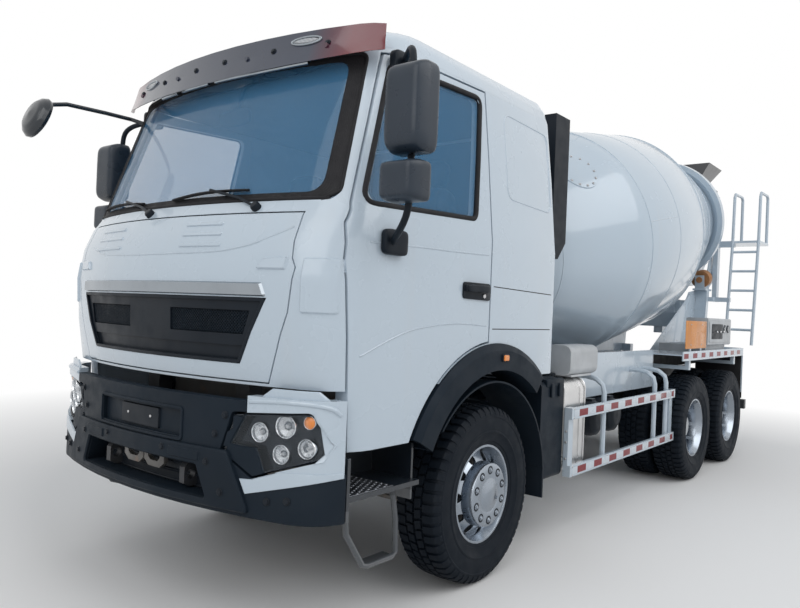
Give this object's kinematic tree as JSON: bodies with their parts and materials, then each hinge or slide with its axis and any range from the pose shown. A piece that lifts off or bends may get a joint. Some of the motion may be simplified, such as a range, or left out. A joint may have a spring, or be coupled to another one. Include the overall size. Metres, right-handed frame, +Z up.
{
  "type": "concrete mixer truck",
  "caption": "White cab-over concrete mixer truck: a tilted rotating drum on a tandem-axle chassis, with a rear hopper, a swivelling discharge chute, opening doors and steered front wheels.",
  "frame": {"origin": "on the ground under the middle of the bounding box", "axes": "+X towards the front of the truck, +Y towards its left side, +Z up"},
  "size_m": [9.237, 3.12, 3.9],
  "materials": {
    "white_paint": "glossy",
    "frame_paint": "satin",
    "cast_parts": "rough",
    "grey_paint": "satin",
    "tank_metal": "satin",
    "muffler_metal": "satin",
    "charcoal_plastic": "matte",
    "black_plastic": "matte",
    "cabin_trim": "matte",
    "seat_cloth": "woven",
    "screen_glass": "glossy",
    "lamp_lens": "glossy",
    "visor_tint": "glossy",
    "tyre_rubber": "matte",
    "rim_paint": "satin",
    "roller_metal": "rough"
  },
  "bodies": {
    "chassis": {"water_tank": "white_paint", "side_guards": "white_paint", "rear_mudguards": "white_paint", "lamp_surrounds": "white_paint", "mixer_subframe": "white_paint", "rear_pedestal": "white_paint", "ladder": "white_paint", "discharge_funnel": "white_paint", "cab_shell": "white_paint", "cab_roof": "white_paint", "chassis_frame": "frame_paint", "air_tanks": "frame_paint", "hopper": "frame_paint", "rear_bar": "frame_paint", "engine": "cast_parts", "front_axle": "cast_parts", "rear_axles": "cast_parts", "leaf_springs": "cast_parts", "drum_drive": "grey_paint", "control_box": "grey_paint", "fuel_tank": "tank_metal", "exhaust_box": "muffler_metal", "bumper": "charcoal_plastic", "entry_steps": "charcoal_plastic", "wheel_arches": "charcoal_plastic", "front_mudguards": "black_plastic", "air_intake": "black_plastic", "front_mirror": "black_plastic", "dashboard": "cabin_trim", "seats": "seat_cloth", "windscreen": "screen_glass", "lamps": "lamp_lens", "sun_visor": "visor_tint", "support_rollers": "roller_metal"},
    "knuckle_left": {"knuckle_left": "cast_parts"},
    "knuckle_right": {"knuckle_right": "cast_parts"},
    "wheel_front_left": {"front_tyre_left": "tyre_rubber", "front_rim_left": "rim_paint"},
    "wheel_front_right": {"front_tyre_right": "tyre_rubber", "front_rim_right": "rim_paint"},
    "wheel_drive_1_left": {"drive_tyres_1_left": "tyre_rubber", "drive_rims_1_left": "rim_paint"},
    "wheel_drive_1_right": {"drive_tyres_1_right": "tyre_rubber", "drive_rims_1_right": "rim_paint"},
    "wheel_drive_2_left": {"drive_tyres_2_left": "tyre_rubber", "drive_rims_2_left": "rim_paint"},
    "wheel_drive_2_right": {"drive_tyres_2_right": "tyre_rubber", "drive_rims_2_right": "rim_paint"},
    "door_left": {"door_left": "white_paint", "door_glass_left": "screen_glass", "mirrors_left": "black_plastic"},
    "door_right": {"door_right": "white_paint", "door_glass_right": "screen_glass", "mirrors_right": "black_plastic"},
    "front_panel": {"front_panel": "white_paint", "grille": "black_plastic"},
    "drum": {"drum": "white_paint"},
    "chute_arm": {"chute_arm": "white_paint"},
    "chute": {"chute": "white_paint"}
  },
  "joints": [
    {"name": "steer_left", "type": "hinge", "parent": "chassis", "child": "knuckle_left", "pos_m": [2.80547, 0.88, 0.538], "axis": [0, 0, 1], "range_deg": [-35, 35]},
    {"name": "spin_front_left", "type": "hinge", "parent": "knuckle_left", "child": "wheel_front_left", "pos_m": [2.80547, 1.02, 0.538], "axis": [0, 1, 0], "continuous": true},
    {"name": "spin_drive_1_left", "type": "hinge", "parent": "chassis", "child": "wheel_drive_1_left", "pos_m": [-1.21953, 1.1, 0.538], "axis": [0, 1, 0], "continuous": true},
    {"name": "spin_drive_2_left", "type": "hinge", "parent": "chassis", "child": "wheel_drive_2_left", "pos_m": [-2.56953, 1.1, 0.538], "axis": [0, 1, 0], "continuous": true},
    {"name": "door_left_swing", "type": "hinge", "parent": "chassis", "child": "door_left", "pos_m": [4.16347, 1.178, 1.95], "axis": [0, 0, -1], "range_deg": [0, 68]},
    {"name": "steer_right", "type": "hinge", "parent": "chassis", "child": "knuckle_right", "pos_m": [2.80547, -0.88, 0.538], "axis": [0, 0, 1], "range_deg": [-35, 35]},
    {"name": "spin_front_right", "type": "hinge", "parent": "knuckle_right", "child": "wheel_front_right", "pos_m": [2.80547, -1.02, 0.538], "axis": [0, 1, 0], "continuous": true},
    {"name": "spin_drive_1_right", "type": "hinge", "parent": "chassis", "child": "wheel_drive_1_right", "pos_m": [-1.21953, -1.1, 0.538], "axis": [0, 1, 0], "continuous": true},
    {"name": "spin_drive_2_right", "type": "hinge", "parent": "chassis", "child": "wheel_drive_2_right", "pos_m": [-2.56953, -1.1, 0.538], "axis": [0, 1, 0], "continuous": true},
    {"name": "door_right_swing", "type": "hinge", "parent": "chassis", "child": "door_right", "pos_m": [4.16347, -1.178, 1.95], "axis": [0, 0, 1], "range_deg": [0, 68]},
    {"name": "front_panel_lift", "type": "hinge", "parent": "chassis", "child": "front_panel", "pos_m": [4.34347, 0, 2.096], "axis": [0, -1, 0], "range_deg": [0, 75]},
    {"name": "drum_spin", "type": "hinge", "parent": "chassis", "child": "drum", "pos_m": [1.35547, 0, 2.095], "axis": [-0.9829, 0, 0.184], "continuous": true},
    {"name": "chute_swing", "type": "hinge", "parent": "chassis", "child": "chute_arm", "pos_m": [-4.37453, 0, 1.56], "axis": [0, 0, -1], "range_deg": [0, 180]},
    {"name": "chute_lift", "type": "hinge", "parent": "chute_arm", "child": "chute", "pos_m": [-4.37453, 0, 1.925], "axis": [-1, 0, 0], "range_deg": [-20, 25]}
  ],
  "couplings": [
    {"joint": "steer_right", "follows": "steer_left", "ratio": 1}
  ]
}
